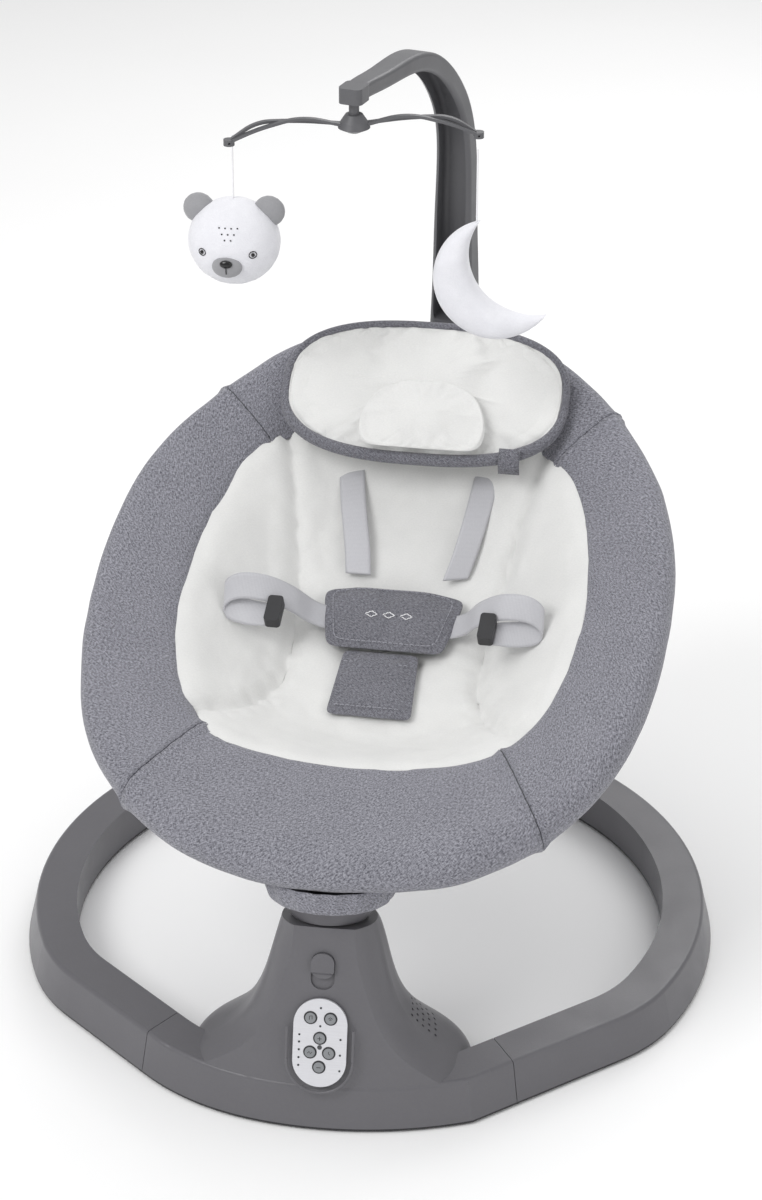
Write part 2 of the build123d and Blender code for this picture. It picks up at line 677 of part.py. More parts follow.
moon_at = (hanger_frame * Pos(hanger_reach, 0, hanger_tip_z - moon_string)).position
moon_disc = Circle(moon_radius) - Pos(28.7, 20) * Circle(moon_radius)
moon = extrude(moon_disc, moon_thickness / 2, both=True)
moon = Rot(90, 0, 0) * moon
moon_top = sqrt(moon_radius ** 2 - moon_hang ** 2)
moon_frame = Location((moon_at.X + moon_hang, moon_at.Y, moon_at.Z - moon_top - string_gap))
save(moon_frame * moon, "moon")
print("hanger", round(hang_x, 1), round(hang_y, 1), "post", round(post_x, 1), round(post_y, 1))
for label, spot in (("bear", bear_at), ("moon", moon_at)):
    print(label, [round(c, 1) for c in spot])
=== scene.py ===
# %% [markdown]
# A baby swing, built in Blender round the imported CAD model.
# The hard parts (base, tower, arm, buttons) are CAD nodes and only get a finish here.
# The soft parts (rim covers, liner, sling, pillow, harness, toys) are made as cloth
# shapes in the places that plain CAD solids hold for them.

# %% The frame
import json
from math import cos, hypot, pi, radians, sin
import bmesh
import bpy
import numpy as np
from mathutils import Matrix, Vector, noise

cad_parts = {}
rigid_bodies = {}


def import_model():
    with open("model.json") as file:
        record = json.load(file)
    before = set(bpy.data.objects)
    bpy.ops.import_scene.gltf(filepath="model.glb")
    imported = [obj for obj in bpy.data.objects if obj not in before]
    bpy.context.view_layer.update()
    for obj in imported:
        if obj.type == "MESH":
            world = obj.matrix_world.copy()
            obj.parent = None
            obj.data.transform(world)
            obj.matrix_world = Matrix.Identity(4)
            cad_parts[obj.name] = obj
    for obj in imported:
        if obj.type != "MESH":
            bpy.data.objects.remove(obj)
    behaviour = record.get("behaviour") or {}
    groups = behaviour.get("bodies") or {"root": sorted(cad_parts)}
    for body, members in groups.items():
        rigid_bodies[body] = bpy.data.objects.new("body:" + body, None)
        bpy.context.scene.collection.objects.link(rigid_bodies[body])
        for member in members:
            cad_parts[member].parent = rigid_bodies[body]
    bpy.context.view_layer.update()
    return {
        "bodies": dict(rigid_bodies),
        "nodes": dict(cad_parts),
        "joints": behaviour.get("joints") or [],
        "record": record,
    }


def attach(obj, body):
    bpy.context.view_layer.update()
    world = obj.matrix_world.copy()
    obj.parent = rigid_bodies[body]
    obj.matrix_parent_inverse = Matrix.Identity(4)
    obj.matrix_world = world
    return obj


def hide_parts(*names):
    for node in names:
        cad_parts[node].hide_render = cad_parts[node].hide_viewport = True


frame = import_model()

nodes = frame["nodes"]
scene = bpy.context.scene
MM = 0.001

# %% [markdown]
# The seat is easiest to shape lying flat: U across it, V up its slope and W out of it.
# These are the same three moves that place it in the CAD: the tilted shaft, the turn it
# is parked at, and the slope of its rim. One matrix then lifts every soft piece into place.

# %% The seat's own space
TOWER_TOP = Vector((0.0, -0.2323, 0.160))
SHAFT_TILT, PARK_TURN, RIM_ANGLE = 13.0, -4.0, 26.0
RIM_FRONT = Vector((0.0, -0.2803, 0.229))


def spin(axis, degrees_):
    return Matrix.Rotation(radians(degrees_), 4, axis)


HUB = Matrix.Translation(TOWER_TOP) @ spin("X", -SHAFT_TILT)
PARK = HUB @ spin("Z", PARK_TURN) @ HUB.inverted()
SEAT = PARK @ Matrix.Translation(RIM_FRONT) @ spin("X", RIM_ANGLE)
print("seat origin", tuple(round(c, 4) for c in SEAT.translation))

# %% [markdown]
# The camera stands in front of the swing, a little to its right, and looks down at it.
# A long lens from 2.6 m keeps the round base and the egg-shaped rim nearly undistorted.

# %% Camera, floor and light
AZIMUTH, ELEVATION, DISTANCE, LENS = 7.8, 28.0, 2.6, 91.9
AIM = Vector((0.004, 0.0367, 0.301))
back = Vector((sin(radians(AZIMUTH)) * cos(radians(ELEVATION)),
               -cos(radians(AZIMUTH)) * cos(radians(ELEVATION)), sin(radians(ELEVATION))))
camera = bpy.data.objects.new("camera", bpy.data.cameras.new("camera"))
scene.collection.objects.link(camera)
camera.location = AIM + DISTANCE * back
camera.rotation_mode = "QUATERNION"
camera.rotation_quaternion = (-back).to_track_quat("-Z", "Y")
camera.data.lens = LENS
camera.data.clip_end = 50.0
scene.camera = camera


def area_light(name, place, aim, size, power):
    lamp = bpy.data.objects.new(name, bpy.data.lights.new(name, "AREA"))
    lamp.data.size, lamp.data.energy = size, power
    lamp.location = place
    lamp.rotation_mode = "QUATERNION"
    lamp.rotation_quaternion = (Vector(aim) - Vector(place)).to_track_quat("-Z", "Y")
    scene.collection.objects.link(lamp)


area_light("key_light", (-1.6, -2.0, 2.6), (0, 0, 0.3), 1.6, 50)
area_light("fill_light", (2.2, -1.6, 1.5), (0, 0, 0.3), 2.0, 12)
area_light("rim_light", (0.6, 2.2, 2.2), (0, 0, 0.4), 1.6, 24)
area_light("top_light", (0.0, 0.2, 3.0), (0, 0, 0), 2.4, 14)
world = bpy.data.worlds.new("studio")
scene.world = world
world.use_nodes = True
world.node_tree.nodes["Background"].inputs["Color"].default_value = (1, 1, 1, 1)
world.node_tree.nodes["Background"].inputs["Strength"].default_value = 0.56
scene.view_settings.view_transform = "Standard"
print("camera at", tuple(round(c, 2) for c in camera.location), "lens", LENS)

# %% [markdown]
# A finish is a small graph of shader nodes. Writing it as Python sums keeps it readable:
# a Wire is one output socket, and adding or multiplying wires adds the Math nodes.
# Every other node comes from one method, which sets the node's options first and then
# its sockets.

# %% Wires and shaders
class Wire:
    """One output socket, with the arithmetic that shader maths needs."""

    def __init__(self, shader, socket):
        self.shader, self.socket = shader, socket

    def math(self, operation, a, b=0.0):
        return self.shader.node("ShaderNodeMath", {"operation": operation}, {0: a, 1: b})

    def __add__(self, other):
        return self.math("ADD", self, other)

    def __sub__(self, other):
        return self.math("SUBTRACT", self, other)

    def __rsub__(self, other):
        return self.math("SUBTRACT", other, self)

    def __mul__(self, other):
        return self.math("MULTIPLY", self, other)

    def __pow__(self, other):
        return self.math("POWER", self, other)

    def __gt__(self, other):
        return self.math("GREATER_THAN", self, other)

    __radd__, __rmul__ = __add__, __mul__

    def between(self, low, high):
        """0 below low, 1 above high and a straight rise between them."""
        return self.shader.node("ShaderNodeMapRange", {"clamp": True}, {0: self, 1: low, 2: high})


class Shader:
    """A material with one Principled shader; its plain values are set on the shader itself."""

    def __init__(self, name, **values):
        self.material = bpy.data.materials.new(name)
        self.material.use_nodes = True
        self.tree = self.material.node_tree
        self.out = self.tree.nodes["Principled BSDF"]
        for label, value in values.items():
            self.out.inputs[label.replace("_", " ")].default_value = value

    def node(self, kind, settings=None, sockets=None, output=0):
        """Any node: its type, its options, the values or links of its sockets."""
        made = self.tree.nodes.new(kind)
        for label, value in (settings or {}).items():
            if label == "stops":
                for stop, (at, shade) in zip(made.color_ramp.elements, value):
                    stop.position, stop.color = at, shade
            else:
                setattr(made, label, value)
        for label, value in (sockets or {}).items():
            if isinstance(value, Wire):
                self.tree.links.new(value.socket, made.inputs[label])
            else:
                made.inputs[label].default_value = value
        return Wire(self, made.outputs[output])

    def place(self, kind="Object"):
        """Where a point is: Object for place in metres, UV for place on the cloth."""
        return self.node("ShaderNodeTexCoord", output=kind)

    def noise(self, where, scale, detail=3.0, rough=0.55):
        return self.node("ShaderNodeTexNoise", {}, {
            "Vector": where, "Scale": scale, "Detail": detail, "Roughness": rough})

    def cells(self, where, scale, feature="F1"):
        return self.node("ShaderNodeTexVoronoi", {"feature": feature},
                         {"Vector": where, "Scale": scale})

    def stretch(self, where, scale, turn=0.0):
        return self.node("ShaderNodeMapping", {}, {
            "Vector": where, "Scale": scale, "Rotation": (0, 0, radians(turn))})

    def axis(self, where, index):
        return self.node("ShaderNodeSeparateXYZ", {}, {0: where}, index)

    def blend(self, share, low, high):
        """A colour that goes from low to high as share goes from 0 to 1."""
        return self.node("ShaderNodeMix", {"data_type": "RGBA"}, {0: share, 6: low, 7: high}, 2)

    def feed(self, **links):
        for label, wire in links.items():
            self.tree.links.new(wire.socket, self.out.inputs[label.replace("_", " ")])

    def relief(self, height, distance, strength=1.0):
        """Height, from 0 to 1, as a bump of that many metres."""
        bump = self.node("ShaderNodeBump", {}, {
            "Height": height, "Distance": distance, "Strength": strength})
        self.feed(Normal=bump)


def rgb(red, green, blue):
    """A screen colour, 0 to 255, as the linear colour that a shader takes."""
    linear = [((c / 255 + 0.055) / 1.055) ** 2.4 if c > 10 else c / 255 / 12.92
              for c in (red, green, blue)]
    return (*linear, 1.0)


print("mid grey is", round(rgb(128, 128, 128)[0], 3), "in linear colour")

# %% [markdown]
# The floor is a plain pale sheet. It is only there to catch the soft shadow.

# %% Floor
floor_mesh = bpy.data.meshes.new("floor")
REACH = 12.0
floor_mesh.from_pydata([(-REACH, -REACH, 0), (REACH, -REACH, 0), (REACH, REACH, 0),
                        (-REACH, REACH, 0)], [], [(0, 1, 2, 3)])
floor = bpy.data.objects.new("floor", floor_mesh)
scene.collection.objects.link(floor)
pale = Shader("pale_floor", Base_Color=rgb(250, 250, 250), Roughness=0.9)
grain = pale.noise(pale.place(), 3.0)
pale.feed(Base_Color=pale.blend(grain, rgb(252, 252, 252), rgb(255, 255, 255)))
floor_mesh.materials.append(pale.material)
print("floor:", 2 * REACH, "m wide")

# %% [markdown]
# Moulded plastic is never quite smooth. The tool leaves a fine spark-eroded grain, the
# gloss drifts a little over a big part, and handling polishes it in faint patches.

# %% Plastics
def moulded(name, light, dark, roughness, grain_size=0.0009, grain_depth=0.00006, coat=0.0):
    shader = Shader(name, Roughness=roughness, Coat_Weight=coat, Coat_Roughness=0.25,
                    Specular_IOR_Level=0.5)
    where = shader.place()
    drift = shader.noise(where, 14.0, 4.0)
    mottle = shader.noise(where, 420.0, 2.0)
    shader.feed(Base_Color=shader.blend(drift * 0.6 + mottle * 0.4, dark, light))
    rub = shader.noise(where, 32.0, 5.0).between(0.42, 0.72)
    shader.feed(Roughness=rub * 0.08 + (roughness - 0.03) + mottle * 0.03)
    pits = shader.cells(where, 1 / grain_size)
    shader.relief(pits * 0.7 + mottle * 0.3, grain_depth)
    return shader.material


grey_plastic = moulded("grey_plastic", rgb(104, 103, 107), rgb(92, 91, 95), 0.36)
arm_plastic = moulded("arm_plastic", rgb(97, 97, 100), rgb(86, 86, 89), 0.42)
dark_plastic = moulded("dark_plastic", rgb(46, 46, 49), rgb(36, 36, 38), 0.45)
button_plastic = moulded("button_plastic", rgb(138, 140, 143), rgb(126, 128, 131), 0.5, 0.0005)
black_gloss = moulded("black_gloss", rgb(24, 24, 26), rgb(14, 14, 15), 0.14)
rubber = moulded("rubber", rgb(44, 44, 45), rgb(34, 34, 35), 0.8, 0.0016)
print("plastics:", 6)

# %% [markdown]
# Turned steel, copper winding and the silver trim of the control panel are metals. Their
# look is in the direction of the scratches, so the grain is noise stretched along one way.

# %% Metals and lenses
def brushed(name, light, dark, roughness, along=(4, 900, 900), metallic=1.0):
    shader = Shader(name, Metallic=metallic, Roughness=roughness)
    lines = shader.noise(shader.stretch(shader.place(), along), 3.0, 4.0, 0.7)
    shader.feed(Base_Color=shader.blend(lines, dark, light))
    shader.feed(Roughness=lines * 0.16 + (roughness - 0.06))
    shader.relief(lines, 0.00002)
    return shader.material


panel_silver = brushed("panel_silver", rgb(233, 233, 237), rgb(206, 206, 211), 0.34,
                       (4, 700, 700), 0.55)
steel = brushed("turned_steel", rgb(200, 200, 204), rgb(160, 160, 164), 0.3, (300, 300, 30))
copper = brushed("copper_wire", rgb(196, 120, 72), rgb(140, 78, 44), 0.35, (60, 60, 2600))
tube_metal = brushed("tube_metal", rgb(120, 120, 124), rgb(98, 98, 102), 0.4, (120, 120, 120))
lens = Shader("smoked_lens", Base_Color=rgb(46, 48, 52), Roughness=0.12, Coat_Weight=0.6)
lens.relief(lens.noise(lens.place(), 900.0), 0.00001)
FINISHES = {
    grey_plastic: ["base_front_housing", "base_ring_left", "base_ring_right", "hub_bowl",
                   "lock_slider", "seat_bracket", "frame_connector"],
    arm_plastic: ["toy_arm", "mobile_spindle", "mobile_hanger"],
    dark_plastic: ["base_bottom_cover", "harness_buckle", "buckle_button", "power_socket",
                   "speaker", "circuit_board", "strap_clips"],
    rubber: ["rubber_feet"],
    steel: ["screws", "drive_shaft", "upper_bearing", "lower_bearing", "magnet_lever"],
    copper: ["drive_coil"],
    tube_metal: ["frame_tube_left", "frame_tube_right"],
    panel_silver: ["control_panel"],
    lens.material: ["indicator_leds", "sensor_window"],
    button_plastic: [name for name in nodes if name.startswith("button_")],
}
for finish, names in FINISHES.items():
    for name in names:
        nodes[name].data.materials.clear()
        nodes[name].data.materials.append(finish)
print("finished CAD nodes:", sum(len(names) for names in FINISHES.values()))

# %% [markdown]
# Cloth shows two things up close: the weave, and the small colour differences between
# its threads. Heather cloth is woven from mixed light and dark yarn, so its colour jumps
# from thread to thread. The UVs of every soft piece are in metres, so one weave fits all.

# %% Cloths
def woven(name, dark, light, thread, fleck=0.5, roughness=0.92, sheen=0.25, depth=0.00025,
          turn=32.0):
    shader = Shader(name, Roughness=roughness, Sheen_Weight=sheen, Sheen_Roughness=0.5,
                    Specular_IOR_Level=0.2)
    where = shader.stretch(shader.place("UV"), (1, 1, 1), turn)
    yarn = shader.noise(shader.stretch(where, (0.45 / thread, 1.1 / thread, 1)), 1.0, 2.0, 0.6)
    cross = shader.noise(shader.stretch(where, (1.3 / thread, 0.5 / thread, 1)), 1.0, 2.0, 0.6)
    cloud = shader.noise(shader.place("UV"), 26.0, 3.0)
    mix = (yarn * 0.6 + cross * 0.4).between(0.36, 0.64)
    shader.feed(Base_Color=shader.blend(mix * fleck + cloud * (1 - fleck), dark, light))
    over = shader.node("ShaderNodeTexWave", {"wave_type": "BANDS", "bands_direction": "X"},
                       {"Vector": where, "Scale": 0.32 / thread, "Distortion": 0.6})
    under = shader.node("ShaderNodeTexWave", {"wave_type": "BANDS", "bands_direction": "Y"},
                        {"Vector": where, "Scale": 0.32 / thread, "Distortion": 0.6})
    shader.relief(over * under * 0.7 + yarn * 0.5, depth)
    return shader.material


heather = woven("heather_cloth", rgb(66, 66, 74), rgb(168, 168, 177), 0.00125, 0.85)
heather_dark = woven("binding_cloth", rgb(62, 62, 68), rgb(146, 146, 154), 0.0011, 0.8)
knit = woven("white_knit", rgb(214, 214, 213), rgb(233, 233, 231), 0.0009, 0.35, 0.95, 0.15,
             0.00012, 0.0)
backing = woven("sling_cloth", rgb(78, 78, 86), rgb(128, 128, 138), 0.0014, 0.6)


def satin_web():
    """Woven tape: fine ribs across it and a soft shine."""
    shader = Shader("satin_webbing", Roughness=0.42, Sheen_Weight=0.3, Specular_IOR_Level=0.55)
    where = shader.place("UV")
    ribs = shader.node("ShaderNodeTexWave", {"bands_direction": "X"},
                       {"Vector": where, "Scale": 260.0, "Distortion": 0.2})
    threads = shader.noise(shader.stretch(where, (300, 2600, 1)), 1.0, 2.0)
    shader.feed(Base_Color=shader.blend(threads * 0.6 + ribs * 0.3, rgb(170, 170, 175),
                                        rgb(206, 206, 210)))
    shader.feed(Roughness=threads * 0.2 + 0.36)
    shader.relief(ribs * 0.6 + threads * 0.4, 0.00012)
    return shader.material


def plush(name, dark, light, depth=0.0005):
    """Short pile: tufts that lie in clumps, with a soft sheen along the edges."""
    shader = Shader(name, Roughness=0.96, Sheen_Weight=0.55, Sheen_Roughness=0.45,
                    Specular_IOR_Level=0.15)
    where = shader.place()
    tufts = shader.noise(where, 900.0, 3.0, 0.65)
    clumps = shader.noise(where, 90.0, 3.0)
    shader.feed(Base_Color=shader.blend(tufts * 0.5 + clumps * 0.5, dark, light))
    shader.relief(tufts * 0.8 + clumps * 0.6, depth)
    return shader.material


webbing = satin_web()
white_plush = plush("white_plush", rgb(218, 218, 224), rgb(240, 240, 244))
grey_plush = plush("grey_plush", rgb(140, 140, 143), rgb(164, 164, 167), 0.0003)
thread_white = plush("white_thread", rgb(224, 224, 226), rgb(244, 244, 246), 0.0001)
thread_liner = plush("liner_thread", rgb(176, 176, 176), rgb(200, 200, 199), 0.0001)
thread_grey = plush("grey_thread", rgb(120, 120, 128), rgb(176, 176, 184), 0.0001)
print("materials so far:", len(bpy.data.materials))

# %% [markdown]
# Most soft pieces are grids of points bent into shape: rows and columns, joined as quads.
# A grid gives clean edge flow for wrinkles, and its UVs can be measured along the cloth.

# %% Grid pieces
def add_mesh(name, points, faces, finish, uvs=None, place=None):
    mesh = bpy.data.meshes.new(name)
    mesh.from_pydata([tuple(p) for p in points], [], faces)
    mesh.polygons.foreach_set("use_smooth", [True] * len(mesh.polygons))
    if uvs is not None:
        layer = mesh.uv_layers.new(name="cloth")
        for loop in mesh.loops:
            layer.data[loop.index].uv = uvs[loop.vertex_index]
    piece = bpy.data.objects.new(name, mesh)
    scene.collection.objects.link(piece)
    mesh.materials.append(finish)
    if place is not None:
        mesh.transform(place)
    return piece


def grid_faces(rows, columns, closed):
    faces = []
    for r in range(rows - 1):
        for c in range(columns if closed else columns - 1):
            d = (c + 1) % columns
            faces.append((r * columns + c, r * columns + d,
                          (r + 1) * columns + d, (r + 1) * columns + c))
    return faces


def cloth_uvs(grid):
    """Distances along the rows and the columns, so that a weave keeps its scale."""
    along = np.linalg.norm(np.diff(grid, axis=1, prepend=grid[:, :1]), axis=2).cumsum(1)
    down = np.linalg.norm(np.diff(grid, axis=0, prepend=grid[:1]), axis=2).cumsum(0)
    middle = along[len(grid) // 2]
    return np.stack([np.broadcast_to(middle, down.shape), down], -1).reshape(-1, 2)


def grid_piece(name, grid, finish, closed=False, place=None, flip=False, uvs=None, caps=False):
    rows, columns = grid.shape[:2]
    faces = grid_faces(rows, columns, closed)
    if caps:
        faces.append(tuple(range(columns))[::-1])
        faces.append(tuple(range((rows - 1) * columns, rows * columns)))
    if flip:
        faces = [face[::-1] for face in faces]
    uvs = cloth_uvs(grid) if uvs is None else uvs
    return add_mesh(name, grid.reshape(-1, 3), faces, finish, uvs, place)


def grid_normals(grid, closed):
    across = np.gradient(grid, axis=1)
    if closed:
        across = np.roll(grid, -1, 1) - np.roll(grid, 1, 1)
    normal = np.cross(across, np.gradient(grid, axis=0))
    return normal / np.maximum(np.linalg.norm(normal, axis=2, keepdims=True), 1e-12)


def ripple(points, scale, seed=0.0):
    """Smooth noise from -1 to 1 at each point; the same on every run."""
    flat = points.reshape(-1, 3) * scale + seed
    return np.array([noise.noise(Vector(p)) for p in flat]).reshape(points.shape[:-1])


def thicken(piece, thickness, offset=-1.0):
    made = piece.modifiers.new("thickness", "SOLIDIFY")
    made.thickness, made.offset = thickness, offset


def smooth(piece, levels=1):
    piece.modifiers.new("smooth", "SUBSURF").levels = levels
    piece.modifiers["smooth"].render_levels = levels


def catmull(points, steps):
    """A smooth open line through a few points, as many points as steps between each two."""
    p = np.array(points, float)
    p = np.vstack([2 * p[0] - p[1], p, 2 * p[-1] - p[-2]])
    out = []
    for a, b, c, d in zip(p, p[1:], p[2:], p[3:]):
        for t in np.linspace(0, 1, steps, endpoint=False):
            out.append(0.5 * (2 * b + (c - a) * t + (2 * a - 5 * b + 4 * c - d) * t * t
                              + (3 * b - a - 3 * c + d) * t ** 3))
    return np.array(out + [p[-2]])


print("a line of 3 points in 4 steps has", len(catmull(((0, 0), (1, 0), (1, 1)), 4)), "points")

# %% [markdown]
# The rim, the liner and the sling share one family of outlines. Three half outlines are
# given: the rim's outer edge, its inner edge and the seat's floor. A number called reach
# slides between them: 0 is the outer edge, 1 the inner edge, 2 the floor and 3 its middle.

# %% Seat outlines
RIM_OUTER = ((0, 0), (97, 15), (166, 58), (225, 159), (238, 265), (217, 401), (172, 475),
             (100, 541), (0, 560))
RIM_INNER = ((0, 111), (70, 116), (124, 138), (160, 197), (171, 275), (158, 380), (128, 440),
             (75, 482), (0, 498))
SEAT_FLOOR = ((0, 185), (35, 190), (62, 205), (80, 235), (84, 262), (78, 300), (60, 335),
              (35, 355), (0, 362))
SEAT_MIDDLE = ((0, 270),) * 9
RINGS = [np.array(half, float) * MM for half in (RIM_OUTER, RIM_INNER, SEAT_FLOOR, SEAT_MIDDLE)]
SPAN_STEPS = 14            # points between two neighbouring outline points


def smooth_loop(corners, steps):
    """A closed curve through the corners, with no jump in its curvature."""
    gap = np.maximum(np.linalg.norm(np.roll(corners, -1, 0) - corners, axis=1), 1e-9)
    before = np.roll(gap, 1)
    slope = (np.roll(corners, -1, 0) - corners) / gap[:, None]
    count = len(corners)
    system = np.zeros((count, count))
    for i in range(count):
        system[i, i - 1] += gap[i]
        system[i, i] += 2 * (gap[i] + before[i])
        system[i, (i + 1) % count] += before[i]
    tangent = np.linalg.solve(system, 3 * (gap[:, None] * np.roll(slope, 1, 0)
                                           + before[:, None] * slope))
    t = np.linspace(0, 1, steps, endpoint=False)[None, :, None]
    start, end = corners[:, None], np.roll(corners, -1, 0)[:, None]
    m0 = tangent[:, None] * gap[:, None, None]
    m1 = np.roll(tangent, -1, 0)[:, None] * gap[:, None, None]
    curve = ((2 * t ** 3 - 3 * t ** 2 + 1) * start + (t ** 3 - 2 * t ** 2 + t) * m0
             + (-2 * t ** 3 + 3 * t ** 2) * end + (t ** 3 - t ** 2) * m1)
    return curve.reshape(-1, 2)


def outline(reach):
    """A closed outline in the seat's U and V, counted from the front, right side first."""
    low = int(min(max(np.floor(reach), 0), 2))
    share = reach - low
    half = (1 - share) * RINGS[low] + share * RINGS[low + 1]
    left = half[-2:0:-1] * (-1, 1)
    if reach > 2.9:
        return np.repeat(half[:1], 16 * SPAN_STEPS, 0)
    return smooth_loop(np.vstack([half, left]), SPAN_STEPS)


def seat_grid(profile, steps):
    """Rows of outlines that follow a profile of (reach, level in mm)."""
    rows = []
    for reach, level in catmull(profile, steps):
        flat = outline(reach)
        rows.append(np.column_stack([flat, np.full(len(flat), level * MM)]))
    return np.array(rows)


COLUMNS = 16 * SPAN_STEPS
print("seat outlines have", COLUMNS, "columns")

# %% [markdown]
# The rim cover is padded cloth wrapped round the frame tube. It is sewn from four pieces,
# so each piece is its own grid, and it dips at both ends where the seam pulls it in.

# %% Rim covers
RIM_PROFILE = ((1.05, -29), (1.02, -24), (0.975, -19.5), (0.86, -15), (0.62, -8), (0.36, -2),
               (0.17, 1.5), (0.04, -2), (-0.015, -11), (-0.01, -20), (0.05, -28), (0.18, -32),
               (0.36, -33))
rim_grid = seat_grid(RIM_PROFILE, 4)
rim_normal = grid_normals(rim_grid, True)
swell = ripple(rim_grid, 14.0) * 0.0016 + ripple(rim_grid, 42.0, 5.0) * 0.0006
SEAM_DIP, SEAM_REACH = 0.0026, 0.0045
CUTS = {"front": (-2, 2), "right": (2, 6), "rear": (6, 10), "left": (10, 14)}


def cut_columns(start, end):
    return [c % COLUMNS for c in range(start * SPAN_STEPS, end * SPAN_STEPS + 1)]


for side, (start, end) in CUTS.items():
    columns = cut_columns(start, end)
    grid, normal = rim_grid[:, columns], rim_normal[:, columns]
    run = np.linalg.norm(np.diff(grid, axis=1, prepend=grid[:, :1]), axis=2).cumsum(1)
    from_end = np.minimum(run, run[:, -1:] - run)
    pucker = np.exp(-(from_end / 0.02) ** 2) * np.sin(np.arange(len(grid)) * 1.9)[:, None] * 0.0006
    lift = swell[:, columns] - SEAM_DIP * np.exp(-(from_end / SEAM_REACH) ** 2) + pucker
    cover = grid_piece(f"rim_cloth_{side}", grid + normal * lift[..., None], heather, place=SEAT)
    thicken(cover, 0.0022, -1.0)
    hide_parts(f"rim_cover_{side}")
    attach(cover, "seat")
print("rim covers:", list(CUTS))

# %% [markdown]
# The white liner is a quilted bowl. Curved seams part its middle from two side wings, and
# the filling stands up on both sides of a seam, so the seam shows as a soft valley.

# %% Liner
LINER_PROFILE = ((0.985, -25), (1.06, -29), (1.22, -40), (1.43, -56), (1.62, -70), (1.79, -80),
                 (1.95, -85.5), (2.12, -88), (2.5, -89), (2.99, -89.5))
liner_grid = seat_grid(LINER_PROFILE, 7)
WING_SEAM = ((118, 470), (103, 410), (92, 350), (84, 290), (84, 235), (104, 190), (134, 158))
wing_line = catmull([(x * MM, y * MM) for x, y in WING_SEAM], 16)


def gap_to(line, grid):
    """The distance of each grid point from a line, seen from above, on both sides."""
    spots = np.stack([np.abs(grid[..., 0]), grid[..., 1]], -1)[:, :, None]
    return np.linalg.norm(spots - line[None, None], axis=3).min(2)


seam_gap = gap_to(wing_line, liner_grid)
edge_gap = np.linalg.norm(liner_grid - liner_grid[:1], axis=2)
puff = 0.0085 * (1 - np.exp(-(seam_gap / 0.008) ** 2)) - 0.004
tuck = -0.003 * np.exp(-(edge_gap / 0.010) ** 2)
folds = ripple(liner_grid * (1, 0.45, 1), 34.0, 3.0) * 0.0026 + ripple(liner_grid, 80.0) * 0.0008
creases = np.exp(-(seam_gap / 0.016) ** 2) * ripple(liner_grid, 110.0, 8.0) * 0.0026
from_buckle = np.linalg.norm(liner_grid[..., :2] - (0, 0.295), axis=2)
pressed = -0.012 * np.exp(-(from_buckle / 0.045) ** 4)
liner_grid[..., 2] += puff + tuck + folds + creases + pressed
liner = grid_piece("liner_cloth", liner_grid, knit, closed=True, place=SEAT, flip=True,
                   uvs=liner_grid[..., :2].reshape(-1, 2))
thicken(liner, 0.004, -1.0)
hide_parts("seat_liner")
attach(liner, "seat")
print("liner:", len(liner.data.vertices), "points")

# %% [markdown]
# Under the liner hangs the sling, which carries the baby. It hangs from the rim like a
# hammock, so it is smooth and full, with slack folds near the rim.

# %% Sling
SLING_PROFILE = ((0.30, -31), (0.42, -37), (0.7, -50), (1.0, -64), (1.22, -84), (1.45, -99),
                 (1.85, -110), (2.3, -112.5), (2.99, -113))
sling_grid = seat_grid(SLING_PROFILE, 6)
slack = ripple(sling_grid * (1, 1, 0.3), 26.0, 9.0) * 0.0018
sling_grid = sling_grid + grid_normals(sling_grid, True) * slack[..., None]
sling = grid_piece("sling_cloth", sling_grid, backing, closed=True, place=SEAT,
                   uvs=sling_grid[..., :2].reshape(-1, 2))
thicken(sling, 0.0018, 1.0)
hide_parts("seat_sling")
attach(sling, "seat")
# Cut the sling away round the hub, where the seat's bracket goes through it.
away = [v.index for v in sling.data.vertices
        if hypot(*(HUB.inverted() @ v.co).xy) < 0.056 and (HUB.inverted() @ v.co).z < 0.08]
shell = bmesh.new()
shell.from_mesh(sling.data)
shell.verts.ensure_lookup_table()
bmesh.ops.delete(shell, geom=[shell.verts[i] for i in away], context="VERTS")
shell.to_mesh(sling.data)
shell.free()
print("sling opened round the hub:", len(away), "points taken out")

# %% [markdown]
# Cloth of the sling gathers round the hub in a short grey sleeve, with small upright folds.

# %% Hub sleeve
turns = np.linspace(0, 2 * pi, 120, endpoint=False)
sleeve_rows = []
for level, radius, fold in ((17.5, 46.5, 0.1), (20, 48.5, 0.7), (26, 50.5, 1.1), (32, 52, 1.3),
                            (37, 53.5, 0.8)):
    gather = np.sin(turns * 19 + np.sin(turns * 4)) * fold + np.sin(turns * 43) * 0.25 * fold
    reach = (radius + gather) * MM
    sleeve_rows.append(np.column_stack([reach * np.cos(turns), reach * np.sin(turns),
                                        np.full(len(turns), level * MM)]))
sleeve = grid_piece("hub_sleeve", np.array(sleeve_rows), heather, closed=True, place=PARK @ HUB)
thicken(sleeve, 0.0016, 1.0)
smooth(sleeve)
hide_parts("hub_pouch")
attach(sleeve, "seat")
print("hub sleeve:", len(sleeve_rows), "rows of", len(turns))

# %% [markdown]
# A stuffed pad starts as a thin closed shell of two faces. The cloth solver then grows the
# cloth a little and blows it up, with its edge held still, so that it bulges and puckers at
# the seam as a real cushion does. The longest moves are cut short, to stay inside the part.

# %% Stuffed pads
def rounded(half_width, half_length, power, count=112):
    """A rounded oval; a higher power is squarer."""
    a = np.linspace(0, 2 * pi, count, endpoint=False)
    c, s = np.cos(a), np.sin(a)
    return np.column_stack([half_width * np.sign(c) * np.abs(c) ** (2 / power),
                            half_length * np.sign(s) * np.abs(s) ** (2 / power)])


